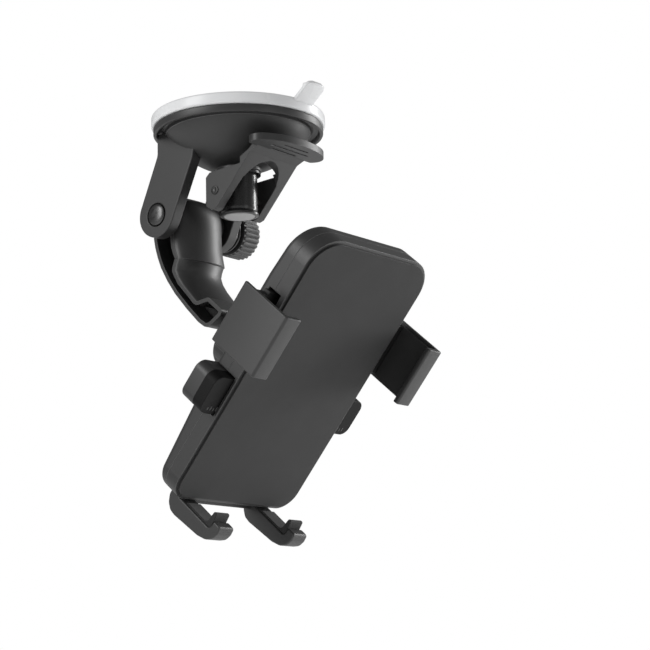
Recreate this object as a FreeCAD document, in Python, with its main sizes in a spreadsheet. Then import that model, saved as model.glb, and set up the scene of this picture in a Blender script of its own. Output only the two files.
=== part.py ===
"""Car phone mount: suction base, pivoting arm, ball joint and spring-open phone cradle.

Millimetres, +Z up.  The origin is the centre of the suction face, +Z points out of that face
to the glass, and +X runs along the arm's pivot.  The cradle's pieces are drawn in the cradle's
own frame (X across, Y up the phone, Z out of the phone's screen, origin on the ball's axis in
the plane of the phone's back) and placed from there.
"""
import FreeCAD, Part
import math
import os
import Sketcher
from FreeCAD import Placement, Rotation, Vector

DIMENSIONS = {
    # suction base
    "cup_radius": 29.2, "cup_thick": 3.9, "recess_radius": 20.0, "recess_depth": 2.4,
    "tab_width": 9.0, "tab_reach": 10.5, "tab_thick": 1.8,
    "flange_radius": 28.5, "flange_thick": 2.7, "dome_radius": 24.0, "dome_depth": 12.8,
    "cap_wall": 2.2, "boss_radius": 7.5, "post_radius": 6.1, "post_end": 34.4,
    "pin_depth": 27.6, "pin_radius": 1.5, "washer_thick": 0.85,
    # ears and pivot
    "ear_inner": 12.3, "ear_thick": 4.2, "pivot_y": 22.5, "pivot_z": -32.7,
    "ear_end_radius": 7.7, "bolt_radius": 2.0, "head_radius": 3.7,
    "knob_radius": 8.0, "knob_start": 19.8, "knob_length": 8.4, "knob_ribs": 20,
    "hub_radius": 5.6, "hub_half": 11.6, "running": 0.06,
    # arm and ball
    "arm_half": 11.0, "web_thick": 3.6, "ball_radius": 8.5, "ball_depth": 25.5,
    "neck_radius": 3.6, "liner_gap": 0.2, "liner_thick": 1.3,
    "socket_radius": 10.6, "nut_radius": 12.3, "nut_bore": 10.9,
    # cradle
    "cradle_tilt": 41.0, "cradle_y": -24.55, "cradle_z": -96.0,
    "body_half": 29.5, "body_top": 52.2, "body_bottom": 45.2, "top_corner": 11.0, "low_corner": 7.0,
    "body_thick": 12.2, "taper_low": 14.0, "taper_high": 32.0, "slim_low": 2.9, "slim_high": 1.3,
    "seam_depth": 6.0, "shell_wall": 1.8, "back_round": 2.2, "pad_thick": 0.8, "screw_depth": 9.9,
    "jaw_outer": 40.0, "jaw_wall": 1.4, "jaw_mid": 18.0, "jaw_half": 10.7,
    "jaw_back": 9.35, "jaw_front": 11.95, "lip_width": 7.0, "lip_thick": 2.0,
    "pinion_pitch": 5.0, "teeth": 12, "tooth_depth": 0.9,
    "button_outer": 37.0, "button_low": 14.6, "button_high": 1.0, "leg_back": 7.4,
    "foot_x": 18.25, "foot_width": 7.0, "foot_low": 52.0, "foot_reach": 17.2, "foot_tip": 43.3,
    "foot_floor": 46.2, "button_root": 27.6, "tab_turn": 178.5, "tab_rise": 38.0,
}

doc = FreeCAD.newDocument("phone_mount")
sheet = doc.addObject("Spreadsheet::Sheet", "D")
NODES = {}


def fill_sheet():
    """One row per driving dimension: its name, and its value under that alias."""
    for row, (alias, value) in enumerate(DIMENSIONS.items(), start=1):
        sheet.set(f"A{row}", alias)
        sheet.set(f"B{row}", str(value))
        sheet.setAlias(f"B{row}", alias)
    doc.recompute()


def number(formula):
    """The value of a formula on the sheet's cells."""
    return float(sheet.evalExpression(str(formula)))


def cradle_place():
    """Where the cradle's frame stands: leaning back from upright by the cradle's tilt."""
    base = Vector(0, number("D.cradle_y"), number("D.cradle_z"))
    return Placement(base, Rotation(Vector(1, 0, 0), 90 + number("D.cradle_tilt")))


def node(label, obj, place=None):
    """Names a finished sub-part and stands it in its place."""
    obj.Label = label
    if place is not None:
        obj.Placement = place.multiply(obj.Placement)
    NODES[label] = obj
    return obj


# ---------------------------------------------------------------- Part primitives

def along(axis, x=0, y=0, z=0):
    """Placement at a point, with the primitive's own Z turned to the given axis."""
    turn = {"X": Rotation(Vector(0, 1, 0), 90), "Y": Rotation(Vector(1, 0, 0), -90), "Z": Rotation()}
    return Placement(Vector(number(x), number(y), number(z)), turn[axis])


def primitive(kind, name, place, **sizes):
    """A Part primitive whose sizes are formulas on the sheet."""
    obj = doc.addObject("Part::" + kind, name)
    for size, formula in sizes.items():
        obj.setExpression(size, str(formula))
    obj.Placement = place
    return obj


def cylinder(name, place, radius, height):
    return primitive("Cylinder", name, place, Radius=radius, Height=height)


def sphere(name, place, radius):
    return primitive("Sphere", name, place, Radius=radius)


def box(name, x, y, z):
    """A box between formula pairs along X, Y and Z."""
    lows = [pair[0] for pair in (x, y, z)]
    spans = [f"({pair[1]}) - ({pair[0]})" for pair in (x, y, z)]
    place = Placement(Vector(*[number(low) for low in lows]), Rotation())
    return primitive("Box", name, place, Length=spans[0], Width=spans[1], Height=spans[2])


def fuse(name, *pieces):
    obj = doc.addObject("Part::MultiFuse", name)
    obj.Shapes = list(pieces)
    return obj


def common(name, first, second):
    obj = doc.addObject("Part::Common", name)
    obj.Base = first
    obj.Tool = second
    return obj


def cut(name, base, *tools):
    tool = tools[0] if len(tools) == 1 else fuse(name + "_tools", *tools)
    obj = doc.addObject("Part::Cut", name)
    obj.Base = base
    obj.Tool = tool
    return obj


def bar(name, axis, at, radius, start, end):
    """A cylinder along X between two stations, at a (Y, Z) point, or along Z at an (X, Y) one."""
    if axis == "X":
        place = along("X", start, at[0], at[1])
    elif axis == "Y":
        place = along("Y", at[0], start, at[1])
    else:
        place = along("Z", at[0], at[1], start)
    return cylinder(name, place, radius, f"({end}) - ({start})")


# ---------------------------------------------------------------- PartDesign bodies

def new_body(name):
    return doc.addObject("PartDesign::Body", name)


def sketch(body, role, name, offset=None):
    """A sketch on one of the body's own origin planes, raised along its normal if asked."""
    drawing = body.newObject("Sketcher::SketchObject", name)
    plane = [part for part in body.Origin.OriginFeatures if part.Role == role][0]
    drawing.AttachmentSupport = [(plane, "")]
    drawing.MapMode = "FlatFace"
    if offset is not None:
        drawing.setExpression("AttachmentOffset.Base.z", str(offset))
    return drawing


def outline(drawing, points):
    """A closed outline of straight runs through points given as formula pairs."""
    spots = [Vector(number(a), number(b), 0) for a, b in points]
    first = drawing.GeometryCount
    count = len(spots)
    for i in range(count):
        drawing.addGeometry(Part.LineSegment(spots[i], spots[(i + 1) % count]))
    for i in range(count):
        joined = Sketcher.Constraint("Coincident", first + i, 2, first + (i + 1) % count, 1)
        drawing.addConstraint(joined)
    for i, (a, b) in enumerate(points):
        for kind, formula, value in (("DistanceX", a, spots[i].x), ("DistanceY", b, spots[i].y)):
            rule = drawing.addConstraint(Sketcher.Constraint(kind, -1, 1, first + i, 1, value))
            drawing.setExpression(f"Constraints[{rule}]", str(formula))


def rectangle(drawing, x, y):
    outline(drawing, [(x[0], y[0]), (x[1], y[0]), (x[1], y[1]), (x[0], y[1])])


def disc(drawing, x, y, radius):
    """A circle with its centre and radius bound to formulas."""
    centre = Vector(number(x), number(y), 0)
    circle = drawing.addGeometry(Part.Circle(centre, Vector(0, 0, 1), number(radius)))
    for kind, formula, value in (("DistanceX", x, centre.x), ("DistanceY", y, centre.y)):
        rule = drawing.addConstraint(Sketcher.Constraint(kind, -1, 1, circle, 3, value))
        drawing.setExpression(f"Constraints[{rule}]", str(formula))
    rule = drawing.addConstraint(Sketcher.Constraint("Radius", circle, number(radius)))
    drawing.setExpression(f"Constraints[{rule}]", str(radius))


def pad(body, drawing, length, symmetric=False, backwards=False):
    feature = body.newObject("PartDesign::Pad", drawing.Name + "_pad")
    feature.Profile = drawing
    feature.setExpression("Length", str(length))
    feature.SideType = "Symmetric" if symmetric else "One side"
    feature.Reversed = backwards
    doc.recompute()
    return feature


def pocket(body, drawing, length, symmetric=False, backwards=False):
    """A pocket that must remove material, or its direction is wrong."""
    before = body.Shape.Volume
    feature = body.newObject("PartDesign::Pocket", drawing.Name + "_pocket")
    feature.Profile = drawing
    feature.setExpression("Length", str(length))
    feature.SideType = "Symmetric" if symmetric else "One side"
    feature.Reversed = backwards
    doc.recompute()
    if not body.Shape.Volume < before - 0.01:
        raise RuntimeError(f"{feature.Name} cut nothing")
    return feature


def edges_where(shape, test):
    return [f"Edge{i}" for i, edge in enumerate(shape.Edges, start=1) if test(edge)]


def runs_along(axis):
    """A test for straight edges along an axis."""
    def test(edge):
        if edge.Curve.TypeId != "Part::GeomLine":
            return False
        return abs(abs(edge.tangentAt(edge.FirstParameter).dot(axis)) - 1) < 1e-6
    return test


def round_edges(body, radius, test):
    """A fillet on every edge of the body's last feature that passes the test."""
    last = body.Tip
    feature = body.newObject("PartDesign::Fillet", last.Name + "_round")
    feature.Base = (last, edges_where(last.Shape, test))
    feature.setExpression("Radius", str(radius))
    doc.recompute()
    return feature


# ---------------------------------------------------------------- suction base

def suction_cup():
    """Gel disc with a shallow hollow in its face, a hub behind, and a pull tab at the front."""
    disc_body = cylinder("cup_disc", along("Z", z="-D.cup_thick"), "D.cup_radius", "D.cup_thick")
    hub = cylinder("cup_hub", along("Z", z="-D.cup_thick - 0.7"), 6, 1)
    ball = "(D.recess_radius^2 + D.recess_depth^2) / (2 * D.recess_depth)"
    hollow = sphere("cup_hollow", along("Z", z=f"{ball} - D.recess_depth"), ball)
    tab = box("cup_tab", ("-D.tab_width / 2", "D.tab_width / 2"), (0, "D.tab_reach"), (0, "D.tab_thick"))
    round_turn = Rotation(Vector(0, 0, 1), number("D.tab_turn"))
    lean = round_turn.multiply(Rotation(Vector(1, 0, 0), number("D.tab_rise")))
    foot = round_turn.multVec(Vector(0, number("D.cup_radius - 2.5"), -2.6))
    tab.Placement = Placement(foot.add(lean.multVec(Vector(-number("D.tab_width") / 2, 0, 0))), lean)
    blank = fuse("cup_blank", disc_body, hub, tab)
    return node("suction_cup", cut("cup", blank, hollow))


def dome_ball():
    """Radius and centre height of the sphere that the cap's dome is a slice of."""
    radius = "(D.dome_radius^2 + D.dome_depth^2) / (2 * D.dome_depth)"
    centre = f"-D.cup_thick - D.flange_thick - D.dome_depth + {radius}"
    return radius, centre


def ear_outline(drawing):
    """Blade from the dome's rim to the tangents of the round pivot end."""
    outline(drawing, [
        ("D.pivot_y - 0.5", "-D.cup_thick - 1"), ("D.pivot_y - 0.5", "-12.5"),
        ("D.pivot_y + 6.8", "D.pivot_z + 3.6"), ("D.pivot_y + 7.6", "D.pivot_z + 1.0"),
        ("D.pivot_y + 4", "D.pivot_z - 2"), ("D.pivot_y - 5.0", "D.pivot_z - 5.8"),
        ("D.pivot_y - 6.6", "D.pivot_z - 4.0"), (5.3, -16.0), (3.0, "-D.cup_thick - 1"),
    ])


def ear(side):
    """One ear, as a blade with a round end, outside the hub on the given side."""
    body = new_body(f"ear_{'left' if side < 0 else 'right'}")
    offset = "D.ear_inner" if side > 0 else "-D.ear_inner - D.ear_thick"
    blade = sketch(body, "YZ_Plane", body.Name + "_blade", offset)
    ear_outline(blade)
    pad(body, blade, "D.ear_thick")
    end = sketch(body, "YZ_Plane", body.Name + "_end", offset)
    disc(end, "D.pivot_y", "D.pivot_z", "D.ear_end_radius")
    pad(body, end, "D.ear_thick")
    return body


def base_cap():
    """Flange, hollow dome with a flat boss, and the two ears, moulded as one."""
    radius, centre = dome_ball()
    rim_low = "-D.cup_thick - D.flange_thick"
    flange = cylinder("cap_flange", along("Z", z=rim_low), "D.flange_radius", "D.flange_thick")
    outer = sphere("cap_outer", along("Z", z=centre), radius)
    below = cylinder("cap_below", along("Z", z=-30), 30, f"30 + ({rim_low})")
    dome = common("cap_dome", outer, below)
    boss = cylinder("cap_boss", along("Z", z=f"{rim_low} - D.dome_depth"), "D.boss_radius", 3.5)
    solid = fuse("cap_solid", flange, dome, boss, ear(-1), ear(1))
    inner = sphere("cap_inner", along("Z", z=centre), f"{radius} - D.cap_wall")
    inside = cylinder("cap_inside", along("Z", z=-30), "D.dome_radius - 1", "30 - D.cup_thick + 0.1")
    hollow = common("cap_hollow", inner, inside)
    post_hole = cylinder("cap_post_hole", along("Z", z=-25), "D.post_radius + D.running", 20)
    axis = ("D.pivot_y", "D.pivot_z")
    bolt_hole = bar("cap_bolt_hole", "X", axis, "D.bolt_radius + D.running", -20, 20)
    outer_face = "-D.ear_inner - D.ear_thick"
    sink = bar("cap_head_sink", "X", axis, "D.head_radius + 0.3", f"{outer_face} - 1", f"{outer_face} + 1")
    return node("base_cap", cut("cap", solid, hollow, post_hole, bolt_hole, sink))


def stem_pieces():
    """Steel insert of the cup's middle, the post round its core, and the post's end cap."""
    plate = cylinder("insert_plate", along("Z", z=-6.2), 9, 1.2)
    core = cylinder("insert_core", along("Z", z=-24), 2.2, 18)
    node("stem_insert", fuse("insert", plate, core))
    post = cylinder("post_rod", along("Z", z="-D.post_end"), "D.post_radius", "D.post_end - 6.3")
    bore = cylinder("post_bore", along("Z", z=-24.1), 2.2, 20)
    end_sink = cylinder("post_sink", along("Z", z="-D.post_end"), "D.post_radius - 0.9", 1.2)
    axis = (0, "-D.pin_depth")
    pin_hole = bar("post_pin_hole", "X", axis, "D.pin_radius + D.running", -10, 10)
    node("stem_post", cut("post", post, bore, end_sink, pin_hole))
    cap = cylinder("post_cap", along("Z", z="-D.post_end - 0.2"), "D.post_radius - 0.9", 1.4)
    node("post_end_cap", cap)
    node("lever_pin", bar("pin", "X", axis, "D.pin_radius", "-D.ear_inner", "D.ear_inner"))


def helix_spring(label, place, mean_radius, wire, pitch, height):
    """An open coil spring swept along a helix."""
    path = doc.addObject("Part::Helix", label + "_path")
    path.Pitch = pitch
    path.Height = height
    path.Radius = mean_radius
    path.SegmentLength = 1.0
    ring = doc.addObject("Part::RegularPolygon", label + "_wire")
    ring.Polygon = 6
    ring.Circumradius = wire / 2
    ring.Placement = Placement(Vector(mean_radius, 0, 0), Rotation(Vector(1, 0, 0), 90))
    coil = doc.addObject("Part::Sweep", label + "_coil")
    coil.Sections = [ring]
    coil.Spine = (path, [])
    coil.Solid = True
    coil.Frenet = True
    return node(label, coil, place)


def wear_washer():
    top = "-D.cup_thick - D.flange_thick - D.dome_depth"
    place = along("Z", z=f"{top} - D.washer_thick")
    ring = cylinder("washer_ring", place, "D.boss_radius - 0.2", "D.washer_thick")
    hole = cylinder("washer_hole", along("Z", z=-25), "D.post_radius + 0.3", 20)
    return node("wear_washer", cut("washer", ring, hole))


def lever():
    """Two cam plates joined by a slanted front web with an arched window, and an oval thumb tab."""
    body = new_body("lever_body")
    side = sketch(body, "YZ_Plane", "lever_side")
    outline(side, [
        (4.0, -22.6), (4.0, -32.4), (1.6, -34.0), (-0.4, -33.4), (-15.2, -17.2), (-18.6, -15.9),
        (-19.2, -13.6), (-18.3, -13.6), (-14.4, -16.5), (-11.0, -18.2), (-10.9, -20.4), (-7.4, -20.6),
        (0.6, -21.0), (2.4, -21.2),
    ])
    pad(body, side, "2 * D.ear_inner", symmetric=True)
    gap = sketch(body, "YZ_Plane", "lever_gap")
    outline(gap, [(6, -18.6), (6, -36), (-3, -36), (-12.4, -22.5), (-11.4, -18.6)])
    pocket(body, gap, "2 * (D.post_radius + 2.4)", symmetric=True)
    pin_hole = sketch(body, "YZ_Plane", "lever_pin_hole")
    disc(pin_hole, 0, "-D.pin_depth", "D.pin_radius")
    pocket(body, pin_hole, 30, symmetric=True)
    tab = primitive("Ellipsoid", "lever_tab_oval", Placement(Vector(0, -20.8, -14.7), Rotation()),
                    Radius1=30, Radius2=17, Radius3=7.6)
    slice_box = box("lever_tab_slice", (-19, 19), (-30, -17.9), (-15.9, -13.6))
    oval = common("lever_tab", tab, slice_box)
    return node("lever", fuse("lever_whole", body, oval))


# ---------------------------------------------------------------- pivot, arm and knob

def pivot_pieces():
    """Bolt, friction washers, knob with its collar and hex nut, all on the pivot's axis."""
    axis = ("D.pivot_y", "D.pivot_z")
    face = "-D.ear_inner - D.ear_thick"
    head = bar("bolt_head", "X", axis, "D.head_radius", f"{face} - 0.5", f"{face} + 1")
    shank = bar("bolt_shank", "X", axis, "D.bolt_radius", face, "D.knob_start + 6")
    node("pivot_bolt", fuse("bolt", head, shank))
    for side, low in (("left", "-D.ear_inner + 0.1"), ("right", "D.hub_half + 0.1")):
        ring = bar(f"friction_{side}", "X", axis, "D.hub_radius - 1", low, f"{low} + 0.5")
        hole = bar(f"friction_{side}_hole", "X", axis, "D.bolt_radius + 0.2", -20, 20)
        node(f"friction_washer_{side}", cut(f"friction_{side}_ring", ring, hole))
    ear_face = "D.ear_inner + D.ear_thick"
    collar = bar("collar", "X", axis, "D.knob_radius - 1.6", f"{ear_face} + 0.15", "D.knob_start - 0.15")
    collar_hole = bar("collar_hole", "X", axis, "D.bolt_radius + D.running", 0, 40)
    node("knob_collar", cut("collar_ring", collar, collar_hole))
    hexagon = primitive("Prism", "nut_hex", along("X", "D.knob_start + 1.6", *axis),
                        Circumradius=4.0, Height=3.2, Polygon=6)
    nut_hole = bar("nut_hole", "X", axis, "D.bolt_radius + D.running", 0, 40)
    node("knob_nut", cut("nut", hexagon, nut_hole))
    node("knob", knob_body())


def knob_body():
    """Ribbed cap with a socket for the hex nut and a blind hole for the bolt's end."""
    body = new_body("knob_blank")
    core = sketch(body, "YZ_Plane", "knob_core", "D.knob_start")
    disc(core, "D.pivot_y", "D.pivot_z", "D.knob_radius - 0.45")
    pad(body, core, "D.knob_length")
    ribs = []
    for i in range(int(number("D.knob_ribs"))):
        turn = 2 * math.pi * i / number("D.knob_ribs")
        reach = number("D.knob_radius - 0.6")
        spot = (number("D.pivot_y") + reach * math.cos(turn), number("D.pivot_z") + reach * math.sin(turn))
        end = "D.knob_start + D.knob_length - 0.5"
        ribs.append(bar(f"knob_rib_{i}", "X", spot, 0.6, "D.knob_start + 0.4", end))
    blank = fuse("knob_ribbed", body, *ribs)
    axis = ("D.pivot_y", "D.pivot_z")
    nut_room = primitive("Prism", "knob_nut_room", along("X", "D.knob_start + 1.6", *axis),
                         Circumradius=4.0, Height=3.2, Polygon=6)
    bolt_room = bar("knob_bolt_room", "X", axis, "D.bolt_radius + D.running", "D.knob_start - 1",
                    "D.knob_start + 6.4")
    return cut("knob_cut", blank, nut_room, bolt_room)


def from_ball(v, w):
    """Row-frame (Y, Z) of a point given in the cradle's frame at rest."""
    spot = cradle_place().multVec(Vector(0, v, w))
    return (round(spot.y, 3), round(spot.z, 3))


def arm():
    """Boomerang with a hub, a stepped-round neck in front, and ribbed pockets on both sides."""
    body = new_body("arm_body")
    back = [
        ("D.pivot_y + D.hub_radius", "D.pivot_z - 0.6"), (28.6, -39.3), (25.9, -48.9), (19.2, -59.4),
        (9.6, -70.2), from_ball(-3.2, -37.6), from_ball(-2.4, -36.2), from_ball(5.0, -36.0),
        from_ball(6.2, -37.2), from_ball(6.2, -43.6),
    ]
    neck_layers = {
        "edge": ("2 * D.arm_half", [(9.6, -63.6), (17.0, -55.4), (19.2, -51.0), (17.9, -47.4), (19.4, -43.0),
                                    (19.6, -34.5)]),
        "middle": ("1.5 * D.arm_half", [(7.8, -63.0), (15.0, -54.8), (15.2, -49.0), (15.2, -44.0),
                                        (16.6, -34.5)]),
        "front": ("0.95 * D.arm_half", [(6.2, -62.6), (12.4, -56.4), (13.0, -50.4), (13.2, -44.6),
                                        (15.4, -34.5)]),
    }
    for name, (width, front) in neck_layers.items():
        side = sketch(body, "YZ_Plane", f"arm_{name}")
        behind = back if name == "edge" else [(20.5, -35.0), (19.0, -51.8), (10.4, -63.6)]
        outline(side, behind + front)
        pad(body, side, width, symmetric=True)
    hub = sketch(body, "YZ_Plane", "arm_hub")
    disc(hub, "D.pivot_y", "D.pivot_z", "D.hub_radius")
    pad(body, hub, "2 * D.hub_half", symmetric=True)
    for side, offset in (("left", "-D.web_thick / 2"), ("right", "D.web_thick / 2")):
        hollow = sketch(body, "YZ_Plane", f"arm_{side}", offset)
        outline(hollow, [
            (27.0, -41.6), (24.4, -48.3), (17.8, -58.6), (8.0, -69.6), from_ball(-1.8, -37.8),
            from_ball(4.6, -37.3), from_ball(4.9, -43.6), (9.6, -64.0), (19.2, -51.8), (18.6, -47.8),
            (20.4, -43.0),
        ])
        pocket(body, hollow, "D.arm_half", backwards=side == "right")
    bore = bar("arm_bore", "X", ("D.pivot_y", "D.pivot_z"), "D.bolt_radius + D.running", -20, 20)
    place = cradle_place()
    foot = Placement(place.multVec(Vector(0, 0, -36.8)), place.Rotation)
    stem = cylinder("ball_neck", foot, "D.neck_radius", 6)
    ball = sphere("ball", Placement(place.multVec(Vector(0, 0, -number("D.ball_depth"))), place.Rotation),
                  "D.ball_radius")
    whole = fuse("arm_whole", body, stem, ball)
    return node("arm", cut("arm_bored", whole, bore))


# ---------------------------------------------------------------- ball joint

def ball_frame(name, start, length, radius):
    """A cylinder on the ball's axis in the cradle's frame."""
    return bar(name, "Z", (0, 0), radius, start, f"({start}) + ({length})")


def ball_joint_pieces():
    """Friction liner, slotted socket and ring nut, on the ball's axis in the cradle's frame."""
    centre = along("Z", z="-D.ball_depth")
    inner = "D.ball_radius + D.liner_gap"
    shell = sphere("liner_outer", centre, f"{inner} + D.liner_thick")
    room = sphere("liner_room", centre, inner)
    zone = ball_frame("liner_zone", "-D.ball_depth - 3.6", 7.2, 12)
    node("ball_liner", cut("liner", common("liner_band", shell, zone), room), cradle_place())

    back = "-D.body_thick"
    flange = ball_frame("socket_flange", f"{back} - 1.5", 1.5, "D.nut_radius")
    tube = ball_frame("socket_tube", "-D.ball_depth - 3.8", "D.ball_depth + 3.8 - D.body_thick",
                      "D.socket_radius")
    cavity = sphere("socket_cavity", centre, f"{inner} + D.liner_thick + D.liner_gap")
    depths = ("-D.ball_depth - 6", "-D.ball_depth + 6")
    slots = [box(f"socket_slot_{i}", (-12, 12), (-0.6, 0.6), depths) for i in range(2)]
    corner = Vector(0.6, -12, number("-D.ball_depth - 6"))
    slots[1].Placement = Placement(corner, Rotation(Vector(0, 0, 1), 90))
    mouth = ball_frame("socket_mouth", "-D.ball_depth - 8", 8, 9.0)
    socket = cut("socket", fuse("socket_blank", flange, tube), cavity, mouth, *slots)
    node("ball_socket", socket, cradle_place())

    ring = ball_frame("nut_ring", "-D.ball_depth - 6.0", 15, "D.nut_radius")
    bore = ball_frame("nut_ring_bore", "-D.ball_depth - 4.1", 20, "D.nut_bore")
    throat = ball_frame("nut_throat", "-D.ball_depth - 8", 6, 9.3)
    node("lock_nut", cut("nut_hollow", ring, bore, throat), cradle_place())


# ---------------------------------------------------------------- cradle

def shell_block(name, inset, low, high, arched):
    """Rounded plate between two depths, with its back thinned towards both ends if arched."""
    body = new_body(name)
    plan = sketch(body, "XY_Plane", name + "_plan", low)
    rectangle(plan, (f"-D.body_half + {inset}", f"D.body_half - {inset}"),
              (f"-D.body_bottom + {inset}", f"D.body_top - {inset}"))
    pad(body, plan, f"({high}) - ({low})")
    if arched:
        wedges = sketch(body, "YZ_Plane", name + "_wedges")
        back = f"-D.body_thick + {inset}"
        outline(wedges, [("-D.taper_low", back), ("-D.body_bottom - 1", f"{back} + D.slim_low"),
                         ("-D.body_bottom - 1", f"{back} - 2"), ("-D.taper_low", f"{back} - 2")])
        outline(wedges, [("D.taper_high", back), ("D.body_top + 1", f"{back} + D.slim_high"),
                         ("D.body_top + 1", f"{back} - 2"), ("D.taper_high", f"{back} - 2")])
        pocket(body, wedges, "3 * D.body_half", symmetric=True)
    upright = runs_along(Vector(0, 0, 1))
    round_edges(body, f"D.low_corner - {inset}", lambda edge: upright(edge) and edge.CenterOfMass.y < 0)
    round_edges(body, f"D.top_corner - {inset}", lambda edge: upright(edge) and edge.CenterOfMass.y > 0)
    return body


def soften_back(body):
    """Rounds the rim of the arched back, but not the two creases across it."""
    creases = (-number("D.taper_low"), number("D.taper_high"))

    def on_rim(edge):
        if any(spot.Z > -number("D.seam_depth") - 2 for spot in edge.Vertexes):
            return False
        return all(abs(edge.CenterOfMass.y - crease) > 0.01 for crease in creases)
    return round_edges(body, "D.back_round", on_rim)


def side_openings(name):
    """Cuts in both sides for the jaws and buttons, and in the bottom for the feet's legs."""
    tools = []
    for side, (near, far) in {"left": (-31, -24.3), "right": (24.3, 31)}.items():
        tools.append(box(f"{name}_{side}_jaw_slot", (near, far),
                         ("D.jaw_mid - D.jaw_half - 0.4", "D.jaw_mid + D.jaw_half + 0.4"), (-8.5, -2.7)))
        tools.append(box(f"{name}_{side}_button_slot", (near, far),
                         ("-D.button_low - 0.4", "-D.button_high + 0.4"), (-14, -1.7)))
    for side in (-1, 1):
        middle = f"{side} * D.foot_x"
        half = "D.foot_width / 2 + 0.4"
        tools.append(box(f"{name}_leg_slot_{'left' if side < 0 else 'right'}",
                         (f"{middle} - ({half})", f"{middle} + {half}"), (-46, -38),
                         ("-D.leg_back - 0.4", -3.1)))
    return tools


def cradle_shells():
    """Rear cover with axle, ribs and screw bosses, front cover, and the rubber sheet on it."""
    outer = shell_block("rear_outer", 0, "-D.body_thick", "-D.seam_depth - 0.05", True)
    soften_back(outer)
    inner = shell_block("rear_inner", "D.shell_wall", "-D.body_thick + D.shell_wall", -3, True)
    rear = cut("rear_shell", outer, inner)
    floor = "-D.body_thick + D.shell_wall - 0.4"
    axle = bar("rear_axle", "Z", (0, "D.jaw_mid"), 1.5, floor, -3.2)
    bosses = [bar(f"rear_boss_{i}", "Z", spot, 2.3, "-D.screw_depth + 0.2", "-D.seam_depth - 0.05")
              for i, spot in enumerate(SCREW_SPOTS)]
    ribs = [box(f"rear_rib_{name}", x, y, (floor, top)) for name, x, y, top in SPRING_RIBS]
    holes = [bar(f"rear_screw_hole_{i}", "Z", spot, 1.1, -14, -3) for i, spot in enumerate(SCREW_SPOTS)]
    sinks = [bar(f"rear_screw_sink_{i}", "Z", spot, 2.1, -14, "-D.screw_depth")
             for i, spot in enumerate(SCREW_SPOTS)]
    blank = fuse("rear_blank", rear, axle, *bosses, *ribs)
    node("rear_cover", cut("rear_cut", blank, *holes, *sinks, *side_openings("rear")), cradle_place())

    skin = shell_block("front_outer", 0, "-D.seam_depth", "-D.pad_thick", False)
    room = shell_block("front_inner", "D.shell_wall", "-D.seam_depth - 1", "-D.pad_thick - D.shell_wall",
                       False)
    front = cut("front_shell", skin, room)
    posts = [bar(f"front_boss_{i}", "Z", spot, 2.3, "-D.seam_depth", "-D.pad_thick - 1")
             for i, spot in enumerate(SCREW_SPOTS)]
    threads = [bar(f"front_screw_hole_{i}", "Z", spot, 0.9, -7, -2.4) for i, spot in enumerate(SCREW_SPOTS)]
    front_blank = fuse("front_blank", front, *posts)
    node("front_cover", cut("front_cut", front_blank, *threads, *side_openings("front")), cradle_place())

    sheet_body = shell_block("front_sheet", 1.2, "-D.pad_thick", -0.05, False)
    node("front_pad", sheet_body, cradle_place())

    screws = []
    for i, spot in enumerate(SCREW_SPOTS):
        head = bar(f"screw_head_{i}", "Z", spot, 1.9, "-D.screw_depth - 0.9", "-D.screw_depth")
        shank = bar(f"screw_shank_{i}", "Z", spot, 0.9, "-D.screw_depth", -2.5)
        screws.append(fuse(f"screw_{i}", head, shank))
    bundle = doc.addObject("Part::Compound", "screw_set")
    bundle.Links = screws
    node("cover_screws", bundle, cradle_place())


SPRING_RIBS = [
    ("left_button", (-18.4, -17.6), (-11.8, -9.2), -5.4),
    ("right_button", (17.6, 18.4), (-11.8, -9.2), -5.4),
]
SCREW_SPOTS = [(-24.6, -26), (24.6, -26), (-16.5, 46), (16.5, 46)]


def rack_bar(side, teeth_side):
    """A toothed bar of one jaw: its teeth face the pinion between the two bars."""
    name = f"rack_{'left' if side < 0 else 'right'}"
    pitch = 2 * math.pi * number("D.pinion_pitch") / number("D.teeth")
    root = number("D.pinion_pitch") + 0.9
    outer = root + 4.4
    low, high = sorted((teeth_side * root, teeth_side * outer))
    reach = sorted((side * 31.0, -side * 12.0))
    width = (f"D.jaw_mid + {low}", f"D.jaw_mid + {high}")
    blank = box(f"{name}_bar", reach, width, (-8.2, -5.5))
    teeth = []
    for step in range(-8, 5):
        x = -side * (step + 0.5) * pitch
        if -side * x > 22 or side * x < -11.5:
            continue
        teeth.append(rack_tooth(f"{name}_tooth_{step + 8}", x, teeth_side, root))
    return [blank, *teeth]


def rack_tooth(name, x, teeth_side, root):
    """One straight-sided tooth, standing from the bar's root line towards the pinion."""
    middle = number("D.jaw_mid")
    tip = root - 1.5
    points = [Vector(x - 0.85, middle + teeth_side * (root + 0.3), 0),
              Vector(x - 0.35, middle + teeth_side * tip, 0),
              Vector(x + 0.35, middle + teeth_side * tip, 0),
              Vector(x + 0.85, middle + teeth_side * (root + 0.3), 0)]
    tooth = doc.addObject("Part::Feature", name)
    face = Part.Face(Part.makePolygon(points + points[:1]))
    tooth.Shape = face.extrude(Vector(0, 0, 2.7))
    tooth.Placement = Placement(Vector(0, 0, -8.2), Rotation())
    return tooth


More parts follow.
